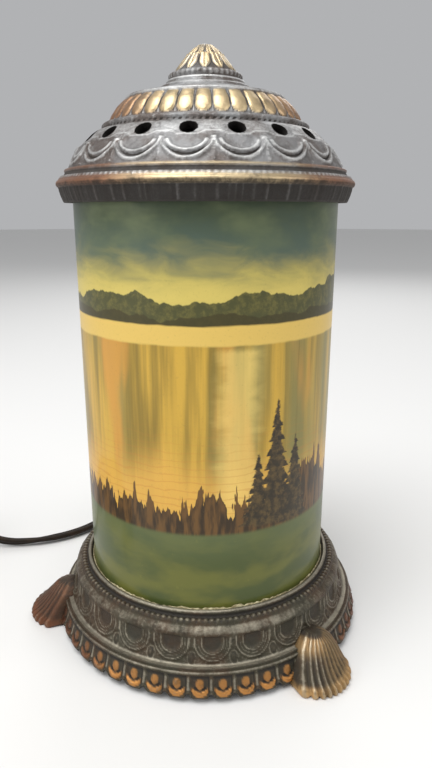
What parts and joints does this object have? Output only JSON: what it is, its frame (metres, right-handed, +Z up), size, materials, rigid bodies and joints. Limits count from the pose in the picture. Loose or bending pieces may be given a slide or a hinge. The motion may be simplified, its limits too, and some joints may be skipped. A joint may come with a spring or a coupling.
{
  "type": "rotating motion lamp",
  "caption": "Table lamp with a cast footed base, an upright picture glass, a vented cast cap and a vaned drum that turns on a needle over the bulb.",
  "frame": {"origin": "on the lamp's axis, on the table plane that the feet stand on", "axes": "+Z up along the glass axis, -Y towards the front of the picture, +X to the right"},
  "size_m": [0.2887, 0.1828, 0.2353],
  "materials": {
    "cast_base": "antique copper over dark brown, worn silver on the high spots",
    "cast_cap": "antique copper and pewter, gold eggs, leaves and torus",
    "picture_glass": "glossy glass, reverse printed with a landscape",
    "drum_film": "amber film with slanting clear ripples",
    "plated_steel": "dull zinc plate",
    "sheet_aluminium": "stamped bare aluminium",
    "brass": "lacquered brass, dulled",
    "fibre": "black vulcanised fibre",
    "gasket_fibre": "pressed fibre",
    "bakelite": "dark brown moulded bakelite",
    "bulb_glass": "inside-frosted bulb glass",
    "bulb_metal": "pressed aluminium bulb base",
    "black_glass": "black glass insulator",
    "tungsten": "dull grey wire",
    "needle_steel": "hardened polished steel",
    "cord_vinyl": "dark brown moulded cord",
    "lead_cloth": "cloth covered wire",
    "tie_plastic": "black strap"
  },
  "bodies": {
    "stand": {"base_casting": "cast_base", "deck_plate": "plated_steel", "deck_screws": "plated_steel", "nipple": "brass", "lock_nut": "plated_steel", "lock_washer": "plated_steel", "socket_cap": "brass", "socket_shell": "brass", "socket_liner": "fibre", "socket_body": "bakelite", "socket_screw_shell": "brass", "socket_contact": "brass", "terminal_screws": "brass", "socket_leads": "lead_cloth", "pivot_yoke": "plated_steel", "yoke_nuts": "plated_steel", "needle_holder": "brass", "pivot_needle": "needle_steel", "glass_gasket": "gasket_fibre", "cord_bushing": "cord_vinyl", "cord_inside": "cord_vinyl", "cord_run": "cord_vinyl", "cord_lead": "cord_vinyl", "cord_coil": "cord_vinyl", "cord_tie": "tie_plastic", "switch_base": "bakelite", "switch_cover": "bakelite", "switch_screw": "plated_steel", "plug_body": "bakelite", "plug_blades": "brass"},
    "drum": {"pivot_thimble": "brass", "drum_fan": "sheet_aluminium", "drum_rim": "sheet_aluminium", "drum_sleeve": "drum_film", "drum_hoop": "sheet_aluminium"},
    "glass": {"glass_cylinder": "picture_glass"},
    "cap": {"cap_casting": "cast_cap"},
    "bulb_contact": {"bulb_tip": "bulb_metal"},
    "bulb": {"bulb_glass": "bulb_glass", "bulb_screw_shell": "bulb_metal", "bulb_insulator": "black_glass", "bulb_stem": "bulb_glass", "bulb_filament": "tungsten"},
    "switch_wheel": {"switch_wheel": "bakelite"}
  },
  "joints": [
    {"name": "drum_spin", "type": "hinge", "parent": "stand", "child": "drum", "pos_m": [0, 0, 0.17625], "axis": [0, 0, 1], "continuous": true},
    {"name": "glass_lift", "type": "slide", "parent": "stand", "child": "glass", "axis": [0, 0, 1], "range_m": [0, 0.165]},
    {"name": "cap_lift", "type": "slide", "parent": "glass", "child": "cap", "axis": [0, 0, 1], "range_m": [0, 0.04]},
    {"name": "bulb_lift", "type": "slide", "parent": "stand", "child": "bulb_contact", "axis": [0, 0, 1], "range_m": [0, 0.01272]},
    {"name": "bulb_turn", "type": "hinge", "parent": "bulb_contact", "child": "bulb", "pos_m": [0, 0, 0.06], "axis": [0, 0, 1], "range_deg": [0, 1260]},
    {"name": "switch_turn", "type": "hinge", "parent": "stand", "child": "switch_wheel", "pos_m": [-0.163, 0.0475, 0.0075], "axis": [0, 0, 1], "continuous": true}
  ],
  "couplings": [
    {"joint": "bulb_lift", "follows": "bulb_turn", "m_per_rad": 0.00057773}
  ]
}
